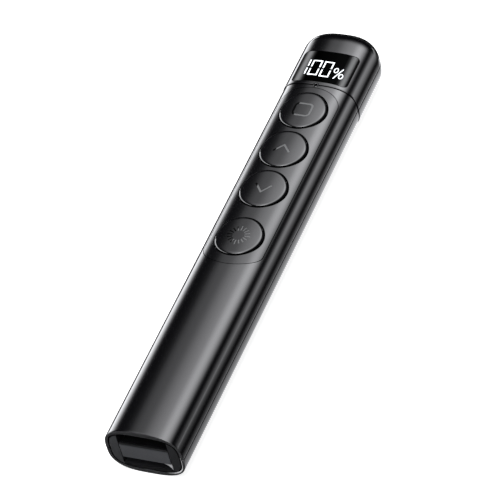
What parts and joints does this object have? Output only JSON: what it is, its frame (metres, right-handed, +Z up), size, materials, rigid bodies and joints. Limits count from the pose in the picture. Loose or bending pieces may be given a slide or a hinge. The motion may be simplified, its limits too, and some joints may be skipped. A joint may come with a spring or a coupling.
{
  "type": "wireless presenter",
  "caption": "Slim hand-held wireless presenter with push buttons under the thumb, a small charge display in its head and a plug-in receiver stored in its tail.",
  "frame": {"origin": "centre of the underside at mid-length, on the surface that the presenter lies on", "axes": "+Y along the body towards the head with the display, +Z up through the buttons, +X to the right seen from the tail"},
  "size_m": [0.0212, 0.145, 0.0153],
  "materials": {
    "shell_black": "smooth satin gloss, black",
    "panel_black": "satin gloss, black",
    "inner_plastic": "as moulded, black",
    "window_black": "polished, deep black",
    "clear_plastic": "clear, lightly frosted",
    "board_green": "green solder mask",
    "chip_black": "matt black",
    "mat_silicone": "matt grey silicone",
    "steel": "plain nickel-plated steel",
    "gold_contact": "gold-plated or plain brass",
    "cell_wrap": "grey sleeve on a metal can",
    "flex_orange": "amber film",
    "lead_red": "red insulation",
    "lead_black": "black insulation"
  },
  "bodies": {
    "presenter": {"upper_housing": "shell_black", "lower_housing": "shell_black", "head_upper_cover": "shell_black", "head_lower_cover": "shell_black", "control_panel": "panel_black", "keypad_mat": "mat_silicone", "switch_menu": "steel", "switch_up": "steel", "switch_down": "steel", "switch_light": "steel", "main_board": "board_green", "housing_screw_1": "steel", "housing_screw_2": "steel", "housing_screw_3": "steel", "housing_screw_4": "steel", "radio_shield": "steel", "controller_chip": "chip_black", "charging_port": "steel", "battery_cell": "cell_wrap", "battery_lead_left": "lead_red", "battery_lead_right": "lead_black", "status_light_guide": "clear_plastic", "status_emitter": "clear_plastic", "display_window": "window_black", "display_module": "chip_black", "display_flex": "flex_orange", "pointer_module": "gold_contact", "pointer_lens": "clear_plastic", "receiver_cradle": "shell_black", "cradle_magnet": "steel"},
    "menu_key": {"button_menu": "panel_black"},
    "up_key": {"button_up": "panel_black"},
    "down_key": {"button_down": "panel_black"},
    "light_key": {"button_light": "panel_black"},
    "receiver": {"receiver_housing": "shell_black", "receiver_plug_shell": "steel", "receiver_tongue": "inner_plastic", "receiver_contact_1": "gold_contact", "receiver_contact_2": "gold_contact", "receiver_contact_3": "gold_contact", "receiver_contact_4": "gold_contact"}
  },
  "joints": [
    {"name": "menu_key_press", "type": "slide", "parent": "presenter", "child": "menu_key", "axis": [0, 0, -1], "range_m": [0, 0.0003], "stiffness_N_per_m": 1500, "springref_m": -0.0003},
    {"name": "up_key_press", "type": "slide", "parent": "presenter", "child": "up_key", "axis": [0, 0, -1], "range_m": [0, 0.0003], "stiffness_N_per_m": 1500, "springref_m": -0.0003},
    {"name": "down_key_press", "type": "slide", "parent": "presenter", "child": "down_key", "axis": [0, 0, -1], "range_m": [0, 0.0003], "stiffness_N_per_m": 1500, "springref_m": -0.0003},
    {"name": "light_key_press", "type": "slide", "parent": "presenter", "child": "light_key", "axis": [0, 0, -1], "range_m": [0, 0.0003], "stiffness_N_per_m": 1500, "springref_m": -0.0003},
    {"name": "receiver_pull", "type": "slide", "parent": "presenter", "child": "receiver", "axis": [0, -1, 0], "range_m": [0, 0.022]}
  ]
}
